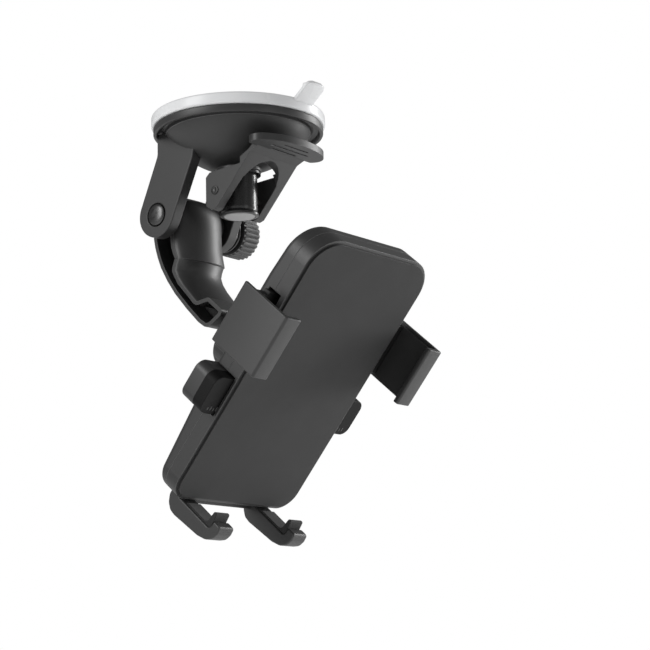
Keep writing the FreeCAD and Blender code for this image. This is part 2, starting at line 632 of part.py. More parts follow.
def jaw(side):
    """Outer plate, front lip and rear web of one jaw, with its rack bar."""
    name = "left" if side < 0 else "right"
    spans = {
        "plate": ("D.jaw_outer - D.jaw_wall", "D.jaw_outer", "-D.jaw_back", "D.jaw_front"),
        "lip": ("D.jaw_outer - D.lip_width", "D.jaw_outer", "D.jaw_front - D.lip_thick", "D.jaw_front"),
        "web": ("31", "D.jaw_outer", "-8.2", "-5.5"),
    }
    pieces = []
    for part, (near, far, low, high) in spans.items():
        x = (near, far) if side > 0 else (f"-({far})", f"-({near})")
        y = ("D.jaw_mid - D.jaw_half", "D.jaw_mid + D.jaw_half")
        pieces.append(box(f"jaw_{name}_{part}", x, y, (low, high)))
    whole = fuse(f"jaw_{name}", *pieces, *rack_bar(side, -side))
    node(f"{name}_clamp", whole, cradle_place())

    inner = "D.jaw_outer - D.jaw_wall"
    x = (f"{inner} - 0.6", inner) if side > 0 else (f"-({inner})", f"-({inner}) + 0.6")
    y = ("D.jaw_mid - D.jaw_half + 1.2", "D.jaw_mid + D.jaw_half - 1.2")
    lining = box(f"lining_{name}", x, y, (-5.3, "D.jaw_front - D.lip_thick"))
    node(f"{name}_clamp_pad", lining, cradle_place())


def pinion_node():
    """The pinion's teeth as copies turned about its axle, joined to the core and ratchet wheel."""
    centre = Vector(0, number("D.jaw_mid"), 0)
    core = cylinder("pinion_core", along("Z", 0, "D.jaw_mid", -8.15), "D.pinion_pitch - 1.0", 2.65)
    pieces = [core, cylinder("ratchet_wheel", along("Z", 0, "D.jaw_mid", -5.5), 5.4, 2.4)]
    count = int(number("D.teeth"))
    tip = number("D.pinion_pitch") + 0.6
    profile = [Vector(-0.75, 3.6, 0), Vector(0.75, 3.6, 0), Vector(0.35, tip, 0), Vector(-0.35, tip, 0)]
    notch = [Vector(-0.9, 5.0, 0), Vector(0.9, 5.0, 0), Vector(0.9, 6.4, 0)]
    for i in range(count):
        turn = Placement(centre, Rotation(Vector(0, 0, 1), 360 * i / count))
        for kind, points, z, depth in (("tooth", profile, -8.15, 2.65), ("catch", notch, -5.5, 2.4)):
            piece = doc.addObject("Part::Feature", f"pinion_{kind}_{i}")
            piece.Shape = Part.Face(Part.makePolygon(points + points[:1])).extrude(Vector(0, 0, depth))
            piece.Placement = Placement(Vector(0, 0, z), Rotation()).multiply(turn)
            pieces.append(piece)
    bore = cylinder("pinion_bore", along("Z", 0, "D.jaw_mid", -9), "1.5 + D.running", 8)
    node("pinion", cut("pinion_bored", fuse("pinion_blank", *pieces), bore), cradle_place())


def pawl():
    """Catch that holds the ratchet wheel, with a wedge foot that the buttons push down."""
    body = new_body("pawl_body")
    plan = sketch(body, "XY_Plane", "pawl_plan", -5.1)
    outline(plan, [(-1.5, 11.3), (-1.5, -3), (-3, -3), (-7, -7), (-7, -8), (7, -8), (7, -7), (3, -3),
                   (1.5, -3), (1.5, 11.3)])
    pad(body, plan, 2.0)
    return node("ratchet_pawl", body, cradle_place())


def button(side):
    """Release button: rounded cap, plunger with a slanted tip, and a spigot inside its spring."""
    name = "left" if side < 0 else "right"
    body = new_body(f"button_{name}_cap")
    plan = sketch(body, "XY_Plane", f"button_{name}_plan", "-D.body_thick + 0.2")
    x = ("D.button_root", "D.button_outer") if side > 0 else ("-D.button_outer", "-D.button_root")
    rectangle(plan, x, ("-D.button_low", "-D.button_high"))
    pad(body, plan, "D.body_thick - 2.1")
    outer = side * number("D.button_outer")
    is_long = runs_along(Vector(0, 0, 1))
    round_edges(body, 3.2, lambda edge: is_long(edge) and abs(edge.CenterOfMass.x - outer) < 1e-6)
    rod = new_body(f"button_{name}_rod")
    tip = sketch(rod, "XY_Plane", f"button_{name}_tip", -5.1)
    outline(tip, [(side * 28.5, -6.4), (side * 7.0, -6.4), (side * 4.8, -4.2), (side * 28.5, -4.2)])
    pad(rod, tip, 2.0)
    low, high = sorted((side * 24.9, side * 28.5))
    spigot = bar(f"button_{name}_spigot", "X", (-10.5, -6.6), 0.9, low, high)
    node(f"{name}_button", fuse(f"button_{name}", body, rod, spigot), cradle_place())


def foot_bracket():
    """Sliding plate in the rear cover, two legs and J-shaped feet, and the bar between them."""
    half = "D.foot_x + D.foot_width / 2"
    pieces = [box("bracket_plate", (f"-({half})", half), (-31, -16), ("-D.leg_back", -5.6))]
    pieces.append(box("bracket_bar", ("-D.foot_x", "D.foot_x"), ("-D.foot_low + 3.6", "-D.foot_low + 6.0"),
                      (-7.0, -3.6)))
    for side in (-1, 1):
        name = "left" if side < 0 else "right"
        body = new_body(f"foot_{name}")
        profile = sketch(body, "YZ_Plane", f"foot_{name}_profile", f"{side} * D.foot_x")
        outline(profile, [
            (-30, "-D.leg_back"), ("-D.foot_low + 4.2", "-D.leg_back"), ("-D.foot_low + 1.8", -6.0),
            ("-D.foot_low + 0.3", -3.9), ("-D.foot_low", -1.5), ("-D.foot_low + 1.0", "D.foot_reach - 6.6"),
            ("-D.foot_low + 2.0", "D.foot_reach - 3.0"), ("-D.foot_low + 4.0", "D.foot_reach - 0.7"),
            ("-D.foot_low + 6.2", "D.foot_reach"), ("-D.foot_tip", "D.foot_reach - 0.2"),
            ("-D.foot_tip", "D.foot_reach - 3.6"), ("-D.foot_floor", "D.foot_reach - 3.6"),
            ("-D.foot_floor", -3.6), (-30, -3.6),
        ])
        pad(body, profile, "D.foot_width", symmetric=True)
        pieces.append(body)
    node("foot_bracket", fuse("bracket", *pieces), cradle_place())

    pads = []
    for side in (-1, 1):
        middle = f"{side} * D.foot_x"
        span = (f"{middle} - D.foot_width / 2 + 0.4", f"{middle} + D.foot_width / 2 - 0.4")
        name = "left" if side < 0 else "right"
        base = "-D.foot_floor"
        floor = box(f"foot_pad_{name}_floor", span, (base, f"{base} + 0.6"), (0.5, "D.foot_reach - 3.6"))
        wall = box(f"foot_pad_{name}_wall", span, (base, "-D.foot_tip + 2.4"),
                   ("D.foot_reach - 6.2", "D.foot_reach - 3.6"))
        pads.append(fuse(f"foot_pad_{name}", floor, wall))
    bundle = doc.addObject("Part::Compound", "foot_pad_set")
    bundle.Links = pads
    node("foot_pads", bundle, cradle_place())


def cradle_springs():
    """Torsion spring round the pinion's axle, and a spring behind each button along X."""
    place = cradle_place()
    coil = Placement(Vector(0, number("D.jaw_mid"), -9.95), Rotation())
    helix_spring("clamp_spring", place.multiply(coil), 3.0, 0.4, 0.65, 1.3)
    for name, start in (("left", -24.7), ("right", 18.7)):
        spot = Placement(Vector(start, -10.5, -6.6), Rotation(Vector(0, 1, 0), 90))
        helix_spring(f"{name}_button_spring", place.multiply(spot), 1.5, 0.4, 1.5, 6.0)


# ---------------------------------------------------------------- checks and export

def check_document():
    """Stops on any failed object, and on any sub-part that is null or not valid."""
    doc.recompute()
    for obj in doc.Objects:
        if "Invalid" in obj.State or "Error" in obj.State:
            raise RuntimeError(f"{obj.Label} failed: {obj.State}")
    for label, obj in NODES.items():
        shape = obj.Shape
        if shape.isNull() or not shape.isValid() or not shape.Solids:
            raise RuntimeError(f"{label} has no valid solid")


def export():
    os.makedirs("parts", exist_ok=True)
    for label, obj in NODES.items():
        obj.Shape.exportStep(f"parts/{label}.step")
        print(label, "solids", len(obj.Shape.Solids), "volume", round(obj.Shape.Volume, 1))


fill_sheet()
suction_cup()
base_cap()
stem_pieces()
helix_spring("release_spring", Placement(Vector(0, 0, -15.2), Rotation()), 7.4, 0.9, 2.05, 8.2)
wear_washer()
lever()
pivot_pieces()
arm()
ball_joint_pieces()
cradle_shells()
jaw(-1)
jaw(1)
pinion_node()
pawl()
button(-1)
button(1)
foot_bracket()
cradle_springs()
check_document()
export()
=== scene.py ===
"""Looks for the car phone mount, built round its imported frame.

Sizes are written in millimetres and turned to metres as each mesh is made.  The row frame has
its origin at the centre of the suction face, +Z out of that face and +X along the arm's pivot.
Cradle pieces are drawn in the cradle's own frame: X across, Y up the phone, Z out of its screen.
"""
import math
import bmesh
import bpy
from mathutils import Matrix, Vector


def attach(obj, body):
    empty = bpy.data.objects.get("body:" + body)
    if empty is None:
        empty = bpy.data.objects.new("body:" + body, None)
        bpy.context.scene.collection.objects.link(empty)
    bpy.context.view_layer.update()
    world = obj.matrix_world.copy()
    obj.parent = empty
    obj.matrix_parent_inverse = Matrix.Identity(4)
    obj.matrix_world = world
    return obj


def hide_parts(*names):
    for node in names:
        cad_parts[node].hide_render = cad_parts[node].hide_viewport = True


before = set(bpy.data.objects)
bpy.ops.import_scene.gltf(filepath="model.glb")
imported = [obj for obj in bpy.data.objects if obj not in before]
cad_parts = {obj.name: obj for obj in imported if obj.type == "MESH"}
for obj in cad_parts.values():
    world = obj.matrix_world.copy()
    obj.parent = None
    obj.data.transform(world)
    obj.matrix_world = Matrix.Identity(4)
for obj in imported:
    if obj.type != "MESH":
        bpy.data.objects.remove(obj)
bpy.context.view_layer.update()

MM = 0.001
SHARP = 32  # degrees between two faces from which their edge is drawn sharp and bevelled
SIDES = {-1: "left", 1: "right"}
ALONG_X = Matrix.Rotation(math.radians(90), 4, "Y")

PIVOT = (22.5, -32.7)  # Y and Z of the arm's pivot
EAR_RADIUS = 7.7
CUP_BACK = -3.9  # where the gel ends and the cap's flange begins
LEVER_PIN_Z = -27.6
CRADLE = Matrix.Translation((0, -24.55, -96.0)) @ Matrix.Rotation(math.radians(131), 4, "X")
BALL_DEPTH, BALL_RADIUS, STUD_RADIUS = 25.5, 8.5, 4.2
PINION_Y, PINION_RADIUS, PINION_TEETH = 18.0, 5.0, 12
AT_PIVOT = Matrix.Translation((0, *PIVOT)) @ ALONG_X
AT_BALL = CRADLE @ Matrix.Translation((0, 0, -BALL_DEPTH))


# ---------------------------------------------------------------- materials

def colour(text):
    """An sRGB hex colour as linear RGBA."""
    channels = [int(text[i:i + 2], 16) / 255 for i in (0, 2, 4)]
    linear = [c / 12.92 if c <= 0.04045 else ((c + 0.055) / 1.055) ** 2.4 for c in channels]
    return (*linear, 1.0)


def add(tree, kind, settings=None, **links):
    """A shader node with its settings, and its inputs set to values or joined to sockets.

    An input goes by its name, with _ for a space, or by its number, as i0, i1 and so on.
    """
    made = tree.nodes.new(kind)
    for name, value in (settings or {}).items():
        setattr(made, name, value)
    for name, value in links.items():
        numbered = name[0] == "i" and name[1:].isdigit()
        socket = made.inputs[int(name[1:]) if numbered else name.replace("_", " ")]
        if isinstance(value, bpy.types.NodeSocket):
            tree.links.new(value, socket)
        else:
            socket.default_value = value
    return made


def start(name):
    """A new material with its tree, its surface shader and object coordinates in metres."""
    made = bpy.data.materials.new(name)
    made.use_nodes = True
    tree = made.node_tree
    shader = tree.nodes["Principled BSDF"]
    place = add(tree, "ShaderNodeTexCoord").outputs["Object"]
    return made, tree, shader, place


def dress(tree, shader, tone, rough, bump, settings):
    """Joins colour, roughness and bump to a surface shader, and sets its other inputs."""
    tree.links.new(tone.outputs[2], shader.inputs["Base Color"])
    tree.links.new(rough.outputs[0], shader.inputs["Roughness"])
    tree.links.new(bump.outputs[0], shader.inputs["Normal"])
    for name, value in settings.items():
        shader.inputs[name].default_value = value


def moulded(name, hex_low, hex_high, roughness, grain=0.02, highlight_strength=0.35, coat=0.0, shine=0.5):
    """Moulded plastic: slow tone drift, fine spark grain, and a painted highlight that makes every
    bevelled edge paler.
    """
    drift_mm, grain_mm, edge_mm = 22, 0.35, 0.35
    made, tree, shader, place = start(name)
    drift = add(tree, "ShaderNodeTexNoise", Vector=place, Scale=1 / (drift_mm * MM), Detail=3.0)
    speck = add(tree, "ShaderNodeTexNoise", Vector=place, Scale=1 / (grain_mm * MM), Detail=2.0,
                Roughness=0.6)
    tone = add(tree, "ShaderNodeMix", {"data_type": "RGBA"}, i0=drift.outputs["Fac"],
               i6=colour(hex_low), i7=colour(hex_high))
    soft = add(tree, "ShaderNodeBevel", {"samples": 6}, Radius=edge_mm * MM)
    flat = add(tree, "ShaderNodeNewGeometry").outputs["True Normal"]
    match = add(tree, "ShaderNodeVectorMath", {"operation": "DOT_PRODUCT"}, i0=soft.outputs[0],
                i1=flat)
    # Painted highlight: near every bevelled edge, where the rounded-edge normal turns from the flat
    # face's normal, the colour is mixed toward pale grey.
    edge = add(tree, "ShaderNodeMapRange", i0=match.outputs["Value"], i1=0.97, i2=0.80, i3=0.0,
               i4=highlight_strength)
    tone_with_highlight = add(tree, "ShaderNodeMix", {"data_type": "RGBA"}, i0=edge.outputs[0],
               i6=tone.outputs[2], i7=colour("a8a8a8"))
    rough = add(tree, "ShaderNodeMapRange", i0=speck.outputs["Fac"], i1=0.3, i2=0.7,
                i3=roughness - 0.05, i4=roughness + 0.05)
    bump = add(tree, "ShaderNodeBump", Strength=0.35, Distance=grain * MM,
               Height=speck.outputs["Fac"], Normal=soft.outputs[0])
    dress(tree, shader, tone_with_highlight, rough, bump, {
        "IOR": 1.53, "Specular IOR Level": shine, "Coat Weight": coat, "Coat Roughness": 0.12})
    return made


def metal(name, hex_low, hex_high, roughness):
    """Turned or plated metal: fine lines round the piece and slight clouding of its polish."""
    cloud_mm, line_mm, edge_mm = 3, 0.12, 0.2
    along = 1.0 / 12.0
    made, tree, shader, place = start(name)
    drift = add(tree, "ShaderNodeTexNoise", Vector=place, Scale=1 / (cloud_mm * MM), Detail=3.0)
    squeezed = add(tree, "ShaderNodeMapping", Vector=place, Scale=(1.0, along, along))
    line = add(tree, "ShaderNodeTexNoise", Vector=squeezed.outputs[0],
               Scale=1 / (line_mm * MM), Detail=2.0)
    tone = add(tree, "ShaderNodeMix", {"data_type": "RGBA"}, i0=drift.outputs["Fac"],
               i6=colour(hex_low), i7=colour(hex_high))
    rough = add(tree, "ShaderNodeMapRange", i0=line.outputs["Fac"], i1=0.3, i2=0.7,
                i3=roughness - 0.06, i4=roughness + 0.08)
    soft = add(tree, "ShaderNodeBevel", {"samples": 6}, Radius=edge_mm * MM)
    bump = add(tree, "ShaderNodeBump", Strength=0.25, Distance=0.008 * MM,
               Height=line.outputs["Fac"], Normal=soft.outputs[0])
    dress(tree, shader, tone, rough, bump, {"Metallic": 1.0})
    return made


def gel(name):
    """White silicone gel: milky, barely clouded, with light spreading under its skin."""
    cloud_mm, skin_mm, spread_mm = 18, 0.8, 3
    made, tree, shader, place = start(name)
    cloud = add(tree, "ShaderNodeTexNoise", Vector=place, Scale=1 / (cloud_mm * MM), Detail=2.0)
    fine = add(tree, "ShaderNodeTexNoise", Vector=place, Scale=1 / (skin_mm * MM), Detail=2.0)
    tone = add(tree, "ShaderNodeMix", {"data_type": "RGBA"}, i0=cloud.outputs["Fac"],
               i6=colour("eaebec"), i7=colour("eff0f1"))
    rough = add(tree, "ShaderNodeMapRange", i0=cloud.outputs["Fac"], i3=0.20, i4=0.34)
    bump = add(tree, "ShaderNodeBump", Strength=0.15, Distance=0.02 * MM,
               Height=fine.outputs["Fac"])
    dress(tree, shader, tone, rough, bump, {
        "IOR": 1.41, "Subsurface Weight": 0.35, "Subsurface Radius": (1.0, 1.0, 1.0),
        "Subsurface Scale": spread_mm * MM})
    return made


def rubber(name, hex_low, hex_high):
    """Soft black rubber: dull, with dust in a fine pebbled skin."""
    pebble_mm, dust_mm = 0.5, 6
    made, tree, shader, place = start(name)
    pebble = add(tree, "ShaderNodeTexVoronoi", Vector=place, Scale=1 / (pebble_mm * MM))
    dust = add(tree, "ShaderNodeTexNoise", Vector=place, Scale=1 / (dust_mm * MM), Detail=5.0)
    tone = add(tree, "ShaderNodeMix", {"data_type": "RGBA"}, i0=dust.outputs["Fac"],
               i6=colour(hex_low), i7=colour(hex_high))
    rough = add(tree, "ShaderNodeMapRange", i0=dust.outputs["Fac"], i3=0.72, i4=0.9)
    bump = add(tree, "ShaderNodeBump", Strength=0.4, Distance=0.03 * MM,
               Height=pebble.outputs["Distance"])
    dress(tree, shader, tone, rough, bump, {"IOR": 1.5, "Sheen Weight": 0.15})
    return made


# Dark grey ABS: the satin shells, ears, arm and jaws.
ABS = moulded("dark_grey_abs", "2e2e2e", "373737", 0.42)
# Painted shade: a darker copy of the same plastic, put inside pockets and slots where shade falls,
# with a fainter painted edge highlight.
ABS_PAINTED_SHADE = moulded("abs_painted_shade", "161616", "1c1c1c", 0.55, highlight_strength=0.1)
# Glossy near-black ABS: the lever's post.
BLACK_GLOSS = moulded("black_glossy_abs", "1c1c1c", "242424", 0.3, grain=0.004, highlight_strength=0.3, coat=0.2)
# Painted shade: near-black copy of the plastic for the button faces, with little shine.
BLACK_PAINTED_SHADE = moulded("button_face_painted_shade", "060606", "0a0a0a", 0.6, highlight_strength=0.06, shine=0.2)
# Slippery acetal: washers, ball liner, pinion and catch.
ACETAL = moulded("dark_acetal", "202022", "2a2a2c", 0.32, grain=0.006, highlight_strength=0.15)
# Polished steel: the pivot's domed head.
BRIGHT = metal("polished_steel", "4c4c4c", "626262", 0.3)
# Plated steel: screws, nut and springs.
STEEL = metal("zinc_plated_steel", "9a9a98", "b8b8b4", 0.32)
# Oil-blackened steel: the lever's pin, almost as dark as the plastic round it.
BLACKENED = metal("blackened_steel", "3e3e3e", "505050", 0.42)
# A pale satin cap in the end of the post.
PALE = moulded("pale_satin_cap", "c2c2c2", "cecece", 0.38, highlight_strength=0.1)
GEL = gel("silicone_gel")
RUBBER = rubber("pebbled_black_rubber", "1a1a1a", "262626")


# ---------------------------------------------------------------- mesh tools

def rounded(points, radius, steps=7):
    """A closed outline with an arc at each corner; radius is one value or one per corner."""
    made = []
    count = len(points)
    for i, point in enumerate(points):
        here = Vector(point)
        before = Vector(points[i - 1]) - here
        after = Vector(points[(i + 1) % count]) - here
        reach = radius[i] if isinstance(radius, (list, tuple)) else radius
        half = before.angle(after) / 2
        if reach <= 0 or half > 1.5:
            made.append(tuple(here))
            continue
        run = min(reach / math.tan(half), before.length * 0.49, after.length * 0.49)
        reach = run * math.tan(half)
        first = here + before.normalized() * run
        last = here + after.normalized() * run
        inwards = (before.normalized() + after.normalized()).normalized()
        centre = here + inwards * (reach / math.sin(half))
        for step in range(steps + 1):
            spot = first.lerp(last, step / steps) - centre
            made.append(tuple(centre + spot.normalized() * reach))
    return made


def inset(points, depth):
    """An outline moved inwards by a depth, its corners mitred; the outline runs anticlockwise."""
    made = []
    count = len(points)
    for i in range(count):
        before = (Vector(points[i]) - Vector(points[i - 1])).normalized()
        after = (Vector(points[(i + 1) % count]) - Vector(points[i])).normalized()
        normal = Vector((-before.y - after.y, before.x + after.x)).normalized()
        share = max(0.35, normal.dot(Vector((-before.y, before.x))))
        made.append(tuple(Vector(points[i]) + normal * (depth / share)))
    return made


def turned_way(points):
    """The outline, made to run anticlockwise."""
    pairs = [(points[i - 1], points[i]) for i in range(len(points))]
    area = sum(a[0] * b[1] - b[0] * a[1] for a, b in pairs)
    return points if area > 0 else points[::-1]


def arc(centre, reach, first, last, steps):
    """Points from one angle to another, both ends included; reach is (across, up)."""
    turns = [first + (last - first) * step / steps for step in range(steps + 1)]
    return [(centre[0] + reach[0] * math.cos(turn), centre[1] + reach[1] * math.sin(turn))
            for turn in turns]


def on_axis(axis, a, b, depth):
    """A point from outline coordinates and a depth: X takes (Y, Z), Y takes (X, Z), Z (X, Y)."""
    if axis == "X":
        return (depth, a, b)
    if axis == "Y":
        return (a, depth, b)
    return (a, b, depth)


def prism(points, axis, low, high, hole=None):
    """A solid between two depths over an outline, with an inner outline left open if given."""
    mesh = bmesh.new()
    points = turned_way(points)
    rings = [points] if hole is None else [points, turned_way(hole)]
    loops = []
    for ring in rings:
        loops.append([[mesh.verts.new(on_axis(axis, a, b, depth)) for a, b in ring]
                      for depth in (low, high)])
    for bottom, top in loops:
        for i in range(len(bottom)):
            j = (i + 1) % len(bottom)
            mesh.faces.new((bottom[i], bottom[j], top[j], top[i]))
    if hole is None:
        mesh.faces.new(loops[0][0])
        mesh.faces.new(loops[0][1])
    else:
        for level in (0, 1):
            outer, inner = loops[0][level], loops[1][level]
            for i in range(len(outer)):
                j = (i + 1) % len(outer)
                mesh.faces.new((outer[i], outer[j], inner[j], inner[i]))
    bmesh.ops.recalc_face_normals(mesh, faces=mesh.faces)
    return mesh


def lathe(profile, steps=120, wave=None):
    """A profile of (radius, height) points turned about Z; wave changes a radius by its angle."""
    mesh = bmesh.new()
    rings = []
    for radius, height in profile:
        if radius < 1e-6:
            rings.append([mesh.verts.new((0, 0, height))])
            continue
        ring = []
        for step in range(steps):
            turn = 2 * math.pi * step / steps
            reach = radius + (wave(turn, radius, height) if wave else 0)
            ring.append(mesh.verts.new((reach * math.cos(turn), reach * math.sin(turn), height)))
        rings.append(ring)
    for lower, upper in zip(rings, rings[1:]):
        for step in range(steps):
            after = (step + 1) % steps
            corners = []
            for ring, index in ((lower, step), (lower, after), (upper, after), (upper, step)):
                spot = ring[index if len(ring) > 1 else 0]
                if spot not in corners:
                    corners.append(spot)
            if len(corners) > 2:
                mesh.faces.new(corners)
    if profile[0] == profile[-1]:
        bmesh.ops.remove_doubles(mesh, verts=mesh.verts, dist=1e-5)
    bmesh.ops.recalc_face_normals(mesh, faces=mesh.faces)
    return mesh


def eased(profile, radius, steps=5):
    """A closed (radius, height) profile with its corners rounded, repeated at its first point."""
    made = rounded(profile, radius, steps)
    return made + made[:1]


def grid(rows, closed=False):
    """A surface through rows of points; closed joins each row's last point to its first."""
    mesh = bmesh.new()
    verts = [[mesh.verts.new(point) for point in row] for row in rows]
    for near, far in zip(verts, verts[1:]):
        count = len(near)
        for i in range(count if closed else count - 1):
            j = (i + 1) % count
            mesh.faces.new((near[i], near[j], far[j], far[i]))
    if closed:
        mesh.faces.new(verts[0])
        mesh.faces.new(verts[-1])
    bmesh.ops.recalc_face_normals(mesh, faces=mesh.faces)
    return mesh


def bar(axis, at, radius, low, high):
    """A plain round bar along an axis."""
    return prism(arc(at, (radius, radius), 0, 2 * math.pi, 48)[:-1], axis, low, high)


def placed(name, mesh, place=None):
    """An object from a mesh in millimetres, set in place and turned to metres."""
    data = bpy.data.meshes.new(name)
    mesh.to_mesh(data)
    mesh.free()
    data.transform(Matrix.Scale(MM, 4) @ (Matrix.Identity(4) if place is None else place))
    obj = bpy.data.objects.new(name, data)
    bpy.context.collection.objects.link(obj)
    return obj


def piece(name, mesh, body, material, stands_for=(), place=None, bevel=0.0, segments=3,
          sharp=SHARP):
    """An object from a mesh in millimetres: set in place, edges bevelled, riding on its body."""
    obj = placed(name, mesh, place)
    obj.data.materials.append(material)
    obj.data.shade_smooth()
    obj.data.set_sharp_from_angle(angle=math.radians(sharp))
    if bevel:
        round_off = obj.modifiers.new("edges", "BEVEL")
        round_off.width = bevel * MM
        round_off.segments = segments
        round_off.limit_method = "ANGLE"
        round_off.angle_limit = math.radians(sharp)
        round_off.harden_normals = True
    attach(obj, body)
    if stands_for:
        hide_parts(*stands_for)
    return obj


def carve(obj, *cutters):
    """Cuts meshes in millimetres, given in the row frame, out of an object for good."""
    for index, mesh in enumerate(cutters):
        change = obj.modifiers.new(f"cut_{index}", "BOOLEAN")
        change.operation = "DIFFERENCE"
        change.solver = "EXACT"
        change.object = placed(f"cutter_{index}", mesh)
        obj.modifiers.move(len(obj.modifiers) - 1, index)
    bevels = [change for change in obj.modifiers if change.type == "BEVEL"]
    for change in bevels:
        change.show_viewport = False
    bpy.context.view_layer.update()
    cut = obj.evaluated_get(bpy.context.evaluated_depsgraph_get())
    data = bpy.data.meshes.new_from_object(cut)
    for change in [change for change in obj.modifiers if change.type == "BOOLEAN"]:
        tool = change.object
        obj.modifiers.remove(change)
        bpy.data.objects.remove(tool)
    for change in obj.modifiers:
        change.show_viewport = True
    obj.data = data
    obj.data.set_sharp_from_angle(angle=math.radians(SHARP))


def keep(node, material):
    """A CAD node whose shape is right, given its finished material."""
    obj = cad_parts[node]
    obj.data.materials.clear()
    obj.data.materials.append(material)
    return obj


def coil(name, body, stands_for, place, radius, wire, pitch, length):
    """An open coil spring of round wire, as a curve."""
    curve = bpy.data.curves.new(name, "CURVE")
    curve.dimensions = "3D"
    turns = length / pitch
    count = int(turns * 20) + 1
    line = curve.splines.new("POLY")
    line.points.add(count - 1)
    for i in range(count):
        share = i / (count - 1)
        turn = 2 * math.pi * turns * share
        spot = place @ Vector((radius * math.cos(turn), radius * math.sin(turn), length * share))
        line.points[i].co = (*(spot * MM), 1)
    curve.bevel_depth = wire / 2 * MM
    curve.bevel_resolution = 4
    curve.use_fill_caps = True
    curve.materials.append(STEEL)
    obj = bpy.data.objects.new(name, curve)
    bpy.context.collection.objects.link(obj)
    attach(obj, body)
    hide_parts(stands_for)
    return obj


# ---------------------------------------------------------------- suction base

def suction_cup():
    """Gel disc with soft edges, a shallow hollow and fine rings in its face."""
    wide, deep = 20.0, 2.4
    ball = (wide ** 2 + deep ** 2) / (2 * deep)
    hollow = []
    for step in range(13):
        reach = wide * step / 12
        hollow.append((reach, ball - deep - math.sqrt(ball ** 2 - reach ** 2)))
    rings = []
    for reach in (22.0, 24.0, 26.0):
        rings += [(reach - 0.3, 0), (reach, -0.18), (reach + 0.3, 0)]
    rim = [(27.0, 0), (29.2, 0), (29.2, CUP_BACK), (26.0, CUP_BACK)]
    back = [(6.0, CUP_BACK), (6.0, -4.6), (0, -4.6)]
    profile = hollow + rings + rounded(rim, [0, 0.9, 0.7, 0], 6) + back
    piece("cup_disc", lathe(profile, 160), "stem", GEL, ["suction_cup"])


def pull_tab():
    """Gel tab that leaves the disc's edge flat, turns up and has a ridge across its end."""
    flat_run, whole_run, rise = 1.8, 12.0, math.radians(38)
    half_width, corner_radius = 4.5, 2.2
    swing = Matrix.Rotation(math.radians(178.5), 4, "Z")
    rows = []
    for step in range(25):
        run = whole_run * (step / 24)
        risen = max(0, run - flat_run)
        base = Vector((0, 25.2 + min(run, flat_run) + risen * math.cos(rise),
                       -2.2 + risen * math.sin(rise)))
        tilt = rise * min(1, max(0, (run - 0.6) / 2.4))
        up = Vector((0, -math.sin(tilt), math.cos(tilt)))
        top = 0.4 + (0.5 if 9.3 < run < 10.4 else 0)
        corner = max(0.0, run - 9.8)
        half = half_width - corner_radius + math.sqrt(max(0, corner_radius ** 2 - corner ** 2))
        section = [(-half, -0.9), (half, -0.9), (half, top), (-half, top)]
        rows.append([swing @ (base + Vector((a, 0, 0)) + up * (b + 0.4))
                     for a, b in rounded(section, 0.45, 3)])
    piece("cup_pull_tab", grid(rows, closed=True), "stem", GEL)


def dome_height(reach):
    """Height of the dome's outer skin at a distance from its axis."""
    centre, radius = 9.9, 28.9
    return centre - math.sqrt(radius ** 2 - reach ** 2)


def base_cap():
    """Flange with a groove under its lip, the dome with its flat boss, and the two ears."""
    lip = [(12.0, CUP_BACK), (28.1, CUP_BACK), (28.5, -4.3), (28.5, -6.2), (28.35, -6.5),
           (28.0, -6.65), (27.5, -6.6)]
    groove = [(27.2, -6.2), (26.9, -5.0), (26.2, -4.6), (25.3, -4.6), (24.7, -5.0), (24.4, -6.3)]
    dome_rim, dome_end = 24.2, 7.7
    dome = []
    for step in range(28):
        reach = dome_rim - (dome_rim - dome_end) * step / 27
        dome.append((reach, dome_height(reach) - 0.15))
    boss = [(7.5, -18.3), (7.5, -19.1), (7.2, -19.4), (6.2, -19.4), (6.2, -12.0)]
    profile = lip + groove + dome + boss + [(12.0, -12.0)] + lip[:1]
    piece("cap_dome", lathe(profile, 176), "base", ABS, ["base_cap"])
    thickness = 4.2
    bore = (2.1, -20, 20)
    head_sink = (4.0, -17.5, -15.6)
    for name, low, cuts in (("left", -16.5, (bore, head_sink)), ("right", 12.3, (bore,))):
        blade = prism(ear_outline(), "X", low, low + thickness)
        ear = piece(f"ear_{name}", blade, "base", ABS, bevel=0.35)
        carve(ear, *(bar("X", PIVOT, *cut) for cut in cuts))


def tangent(point, centre, radius, side):
    """The angle on a circle where the line from a point outside just touches it."""
    away = Vector(point) - Vector(centre)
    return math.atan2(away.y, away.x) + side * math.acos(radius / away.length)


def ear_outline():
    """An ear's blade, swept round its pivot end in one line."""
    back, front = (21.9, -12.5), (6.2, -16.0)
    heel, toe = (21.9, -5.2), (3.8, -5.2)
    first = tangent(back, PIVOT, EAR_RADIUS, -1)
    last = tangent(front, PIVOT, EAR_RADIUS, 1) - 2 * math.pi
    while last > first:
        last -= 2 * math.pi
    end = arc(PIVOT, (EAR_RADIUS, EAR_RADIUS), first, last, 30)
    rear = rounded([heel, back, end[0]], [0, 5, 0], 8)[1:-1]
    fore = rounded([end[-1], front, toe], [0, 4, 0], 6)[1:-1]
    return [toe, heel, *rear, *end, *fore]


def stem():
    """Glossy post with a flared rim, its pale end cap, and the steel insert inside."""
    profile = [(0, -6.3), (6.1, -6.3), (6.1, -31.6), (6.15, -32.2), (5.95, -32.6), (5.95, -32.9),
               (6.35, -33.3), (6.5, -33.8), (6.35, -34.2), (5.9, -34.4), (5.3, -34.4),
               (5.3, -33.6), (0, -33.6)]
    piece("post_rod", lathe(profile, 96), "stem", BLACK_GLOSS, ["stem_post"])
    cap = [(0, -33.5), (5.2, -33.5), (5.2, -34.3), (5.0, -34.5), (4.4, -34.58), (0, -34.62)]
    piece("post_end_disc", lathe(cap, 96), "stem", PALE, ["post_end_cap"])
    keep("stem_insert", STEEL)
    coil("return_spring", "base", "release_spring", Matrix.Translation((0, 0, -15.2)),
         radius=7.4, wire=0.9, pitch=2.05, length=8.2)
    keep("wear_washer", ACETAL)


